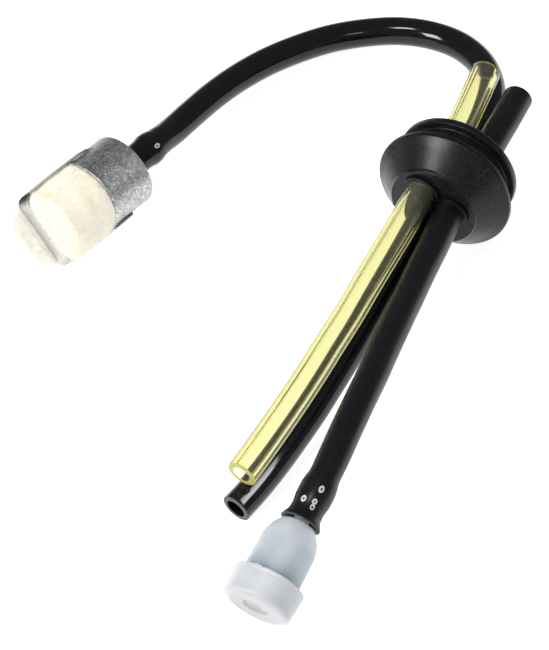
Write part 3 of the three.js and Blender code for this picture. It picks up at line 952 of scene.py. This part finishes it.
def make_strap(material):
    """A strip bent round the felt's end, its two tips hooked into the can's slots."""
    corner = rounded(
        [(7.0, -5.3), (7.98, -5.3, 0.45), (8.06, -14.0, 3.0), (7.86, -23.55, 1.9), (0, -23.45, 4.0)],
        0.4,
        closed=False,
        steps=10,
    )
    path = corner + [Vector((-p.x, p.y)) for p in reversed(corner[:-1])]
    half_width, half_thick, corner_cut = 1.85, 0.175, 0.06
    quarter = [(half_width, half_thick - corner_cut), (half_width - corner_cut, half_thick)]
    section = quarter + [(-x, y) for x, y in reversed(quarter)]
    section += [(-x, -y) for x, y in section]
    place = FILTER @ Matrix.Rotation(math.radians(STRAP_ROLL), 4, "Z")
    verts, faces, uvs = [], [], []
    run = 0.0
    runs = []
    for i, here in enumerate(path):
        before, after = path[max(i - 1, 0)], path[min(i + 1, len(path) - 1)]
        along = (after - before).normalized()
        normal = Vector((along.y, -along.x))
        run += (here - path[i - 1]).length if i else 0
        runs.append(run)
        for across, deep in section:
            q = here + normal * deep
            verts.append(place @ Vector((across, q.x, q.y)))
    n = len(section)
    for i in range(len(path) - 1):
        for j in range(n):
            k = (j + 1) % n
            faces.append((i * n + j, i * n + k, (i + 1) * n + k, (i + 1) * n + j))
            v0, v1 = runs[i] / 1000, runs[i + 1] / 1000
            uvs.append(((j / n, v0), ((j + 1) / n, v0), ((j + 1) / n, v1), (j / n, v1)))
    last = (len(path) - 1) * n
    faces.append(tuple(range(n)))
    faces.append(tuple(last + j for j in range(n)))
    uvs += [tuple((0, 0) for _ in range(n))] * 2
    piece = mesh_piece("strap", verts, faces, uvs, [material], 30)
    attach(piece, "pickup_filter")
    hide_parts("retaining_strap")


def make_felt(material):
    roll = math.radians(STRAP_ROLL)

    def soft(p):
        """Felt bulges on both sides of the strap, most below it and beside one of its legs, and is lumpy."""
        r = math.hypot(p.x, p.y)
        upward = p.x * math.cos(roll) + p.y * math.sin(roll)
        off = abs(upward)
        end = min(max((-p.z - 19.0) / 4.2, 0.0), 1.0)
        if r > 3.7 or p.z < -20.5:
            rise = between(off, [(1.6, -0.2), (2.6, 1.0), (4.4, 1.3), (7.6, 0.6)])
            if upward < 0:
                rise = between(off, [(1.6, -0.2), (2.6, 1.5), (4.4, 2.7), (7.6, 2.3)])
            lump = 0.26 * noise.noise(p * 0.3) + 0.08 * noise.noise(p * 0.9 + Vector((7, 3, 1)))
            lump += 0.07 * noise.noise(p * 3.2)
            full = between(-p.z, [(10.6, 0.0), (11.8, 0.5), (20.0, 0.6), (23.0, 0.3)])
            neck = 0.0 if p.z > -10.75 else 1.0
            held = between(off, [(1.5, 0.0), (2.2, 0.8), (3.2, 1.0)])
            pinch = between(off, [(1.4, 0.0), (2.0, 0.5), (3.0, 0.55), (6.0, 0.0)])
            pinch *= between(p.y * math.cos(roll) - p.x * math.sin(roll), [(2.0, 0.0), (5.0, 1.0)])
            pinch *= between(-p.z, [(11.5, 0.0), (13.5, 1.0), (21.5, 1.0), (23.2, 0.2)])
            grown = lump * (0.2 + 0.8 * held) + full * held + pinch
            swell = 1 + neck * grown / max(r, 2.0)
            x = max(p.x * swell, FELT_LOWEST)
            return Vector((x, p.y * swell, p.z - end * rise + 0.5 * lump * end))
        return p

    outline = [(0, -23.2)]
    outline += [(0.45 * k, -23.2) for k in range(1, 13)]
    for k in range(9):
        t = math.pi / 2 * k / 8
        outline.append((5.6 + 2.05 * math.sin(t), -21.15 - 2.05 * math.cos(t)))
    outline += [(7.66 - 0.02 * abs(k - 8), -20.6 + 0.6 * k) for k in range(16)]
    outline += [(7.62, -10.95, 0.25), (6.9, -10.72, 0.2)]
    outline += [(6.9, -2.9), (3.6, -2.9), (3.6, -20.0), (0, -20.0)]
    piece = turned(
        "felt", outline, FILTER, material, sides=150, radius=0.1, closed=False, shape=soft, crease=80
    )
    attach(piece, "pickup_filter")
    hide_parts("felt_element")
    return piece


def make_fibres(felt, material):
    """Short loose fibres that stand up all over the outside of the felt."""
    chance = random.Random(11)

    def direction():
        return Vector((chance.uniform(-1, 1), chance.uniform(-1, 1), chance.uniform(-1, 1)))

    mesh = felt.data
    axis = (FILTER.to_3x3() @ Vector((0, 0, 1))).normalized()
    open_edge = FILTER @ Vector((0, 0, -11.0))

    def bears_fibres(face):
        """Past the can's open edge, and high enough that no fibre reaches the floor."""
        return (face.center - open_edge).dot(axis) < 0 and face.center.z > FIBRE_CLEARANCE

    sites = [face for face in mesh.polygons if bears_fibres(face)]
    weights = [face.area for face in sites]
    verts, faces = [], []
    for face in chance.choices(sites, weights, k=FIBRES):
        corners = [mesh.vertices[i].co for i in face.vertices]
        shares = [chance.random() for _ in corners]
        root = sum((c * w for c, w in zip(corners, shares)), Vector()) / sum(shares)
        lean = direction()
        out = (face.normal + 0.8 * lean).normalized()
        length = chance.uniform(*FIBRE_LENGTHS)
        tip = (out + direction() * 0.35).normalized()
        side = out.cross(lean).normalized()
        other = out.cross(side)
        base = len(verts)
        sunk = root - out * FIBRE_SUNK
        for ring, radius in zip((sunk, root + out * length * 0.5), FIBRE_RADII):
            for k in range(3):
                t = 2 * math.pi * k / 3
                verts.append(ring + (side * math.cos(t) + other * math.sin(t)) * radius)
        verts.append(root + (out + tip) * length * 0.5)
        faces.append((base, base + 2, base + 1))
        for k in range(3):
            n = (k + 1) % 3
            faces.append((base + k, base + n, base + 3 + n, base + 3 + k))
            faces.append((base + 3 + k, base + 3 + n, base + 6))
    uvs = [((0.5, 0.02),) * len(face) for face in faces]
    piece = mesh_piece("felt_fibres", verts, faces, uvs, [material])
    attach(piece, "pickup_filter")
    return piece


# ---------------------------------------------------------------- vent valve


def make_valve_body(material):
    outline = [(4.5, 1.55), (5.45, 1.55), (5.45, 5.3), (5.4, 9.0), (5.33, 12.3)]
    for k in range(1, 13):
        t = k / 12
        outline.append((5.33 - 0.45 * t - 1.48 * t**2.4, 12.3 + 4.75 * t - 0.1 * t * t))
    outline += [(3.2, NECK_Z), (1.5, NECK_Z + 0.05)]
    for ridge in (2.0, 4.2, 6.4):
        outline += [(1.5, NECK_Z + ridge - 0.5), (1.62, NECK_Z + ridge), (1.5, NECK_Z + ridge + 0.9)]
    outline += [(1.3, NECK_Z + 7.6), (0.9, NECK_Z + 7.6), (0.9, 12.7), (4.5, 12.7)]
    piece = turned("valve_body", outline, VALVE, material, sides=112, radius=0.12)
    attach(piece, "vent_valve")
    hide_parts("vent_body")
    return piece


def make_valve_cap(material):
    def gated(p):
        """A small nub and a nick beside it on the cap's rim, where the mould was gated."""
        if p.z > 4.8:
            angle = math.degrees(math.atan2(p.x, p.y))
            nub = between(abs(angle - 100), [(4, 0.12), (6.5, 0.0)])
            nick = between(abs(angle - 91), [(2.0, 0.14), (4, 0.0)])
            return Vector((p.x, p.y, p.z + nub - nick))
        return p

    outline = [(0.0, 0.3), (0.5, 0.3), (1.1, 0.12), (2.2, 0.08), (2.6, -0.3), (4.8, -0.38)]
    outline.append((5.15, -0.5, 0.1))
    for k in range(1, 8):
        t = math.pi / 2 * k / 7
        outline.append((5.65 + 0.95 * math.sin(t), 0.55 - 0.95 * math.cos(t)))
    outline += [(6.7, 2.2), (6.82, 4.35), (6.78, 4.42, 0.03), (6.84, 4.6, 0.03)]
    outline += [(6.95, 5.35, 0.25), (5.75, 5.4, 0.2), (5.75, 1.2), (0.0, 1.2)]
    piece = turned(
        "valve_cap", outline, VALVE, material, sides=144, radius=0.12, closed=False, shape=gated
    )
    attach(piece, "vent_valve")
    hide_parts("vent_cap")
    return piece


def make_valve_spring(material):
    """A coil for the spring, which shortens as the check disc lifts; here it is built at one length."""
    turns, wire, radius, z0, z1 = 5, 0.2, 2.2, 6.65, 12.2
    verts, faces, uvs = [], [], []
    steps, sides = turns * 28, 10
    for i in range(steps + 1):
        t = i / steps
        a = 2 * math.pi * turns * t
        out = Vector((math.cos(a), math.sin(a), 0))
        here = out * radius + Vector((0, 0, z0 + (z1 - z0) * t))
        for j in range(sides):
            b = 2 * math.pi * j / sides
            verts.append(VALVE @ (here + out * (wire * math.cos(b)) + Vector((0, 0, wire * math.sin(b)))))
    for i in range(steps):
        for j in range(sides):
            k = (j + 1) % sides
            faces.append((i * sides + j, i * sides + k, (i + 1) * sides + k, (i + 1) * sides + j))
            uvs.append(((j / sides, i), ((j + 1) / sides, i), ((j + 1) / sides, i + 1), (j / sides, i + 1)))
    faces.append(tuple(range(sides)))
    faces.append(tuple(steps * sides + j for j in range(sides)))
    uvs += [tuple((0, 0) for _ in range(sides))] * 2
    piece = mesh_piece("valve_spring", verts, faces, uvs, [material])
    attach(piece, "vent_valve")
    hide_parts("vent_spring")
    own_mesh(piece)


def give(node, material):
    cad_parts[node].data.materials.clear()
    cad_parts[node].data.materials.append(material)


# ---------------------------------------------------------------- put together

add_camera()
add_stage()
hose_cut = cut_rubber()
mark = [print_white("print_white", 0.5, 0.68), print_white("print_thin", 0.07, 0.13)]
suction = make_suction_hose([black_hose("glossy_hose", 0.08, 0.13, stretched=0.2), hose_cut], mark)
make_return_hose([clear_yellow(), cut_yellow()])
make_vent_hose([black_hose("satin_hose", 0.30, 0.42), hose_cut], mark)
make_grommet(moulded_rubber())
can = make_can(zinc_plate())
steel = bright_strip()
make_strap(steel)
felt = needle_felt()
element = make_felt(felt)
fuzz = make_fibres(element, felt)
# The shade tones are painted shade, and the body's top tone is painted light.
milky_body = milky_plastic(
    "milky_body",
    (0.48, 0.54, 0.60),
    (0.56, 0.61, 0.65),
    shade=(0.31, 0.37, 0.44),
    painted_light_top=(0.66, 0.68, 0.70),
)
milky_cap = milky_plastic("milky_cap", (0.61, 0.63, 0.68), (0.67, 0.68, 0.72), shade=(0.45, 0.44, 0.445))
body = make_valve_body(milky_body)
cap = make_valve_cap(milky_cap)
add_accents(suction, can, [element, fuzz, body, cap])
make_valve_spring(steel)
nylon = plain_nylon()
seal = matt_seal()
give("filter_core", nylon)
give("filter_nipple", turned_brass())
give("nipple_gasket", seal)
give("vent_seat", nylon)
give("vent_filter_pad", felt)
give("vent_check_disc", seal)
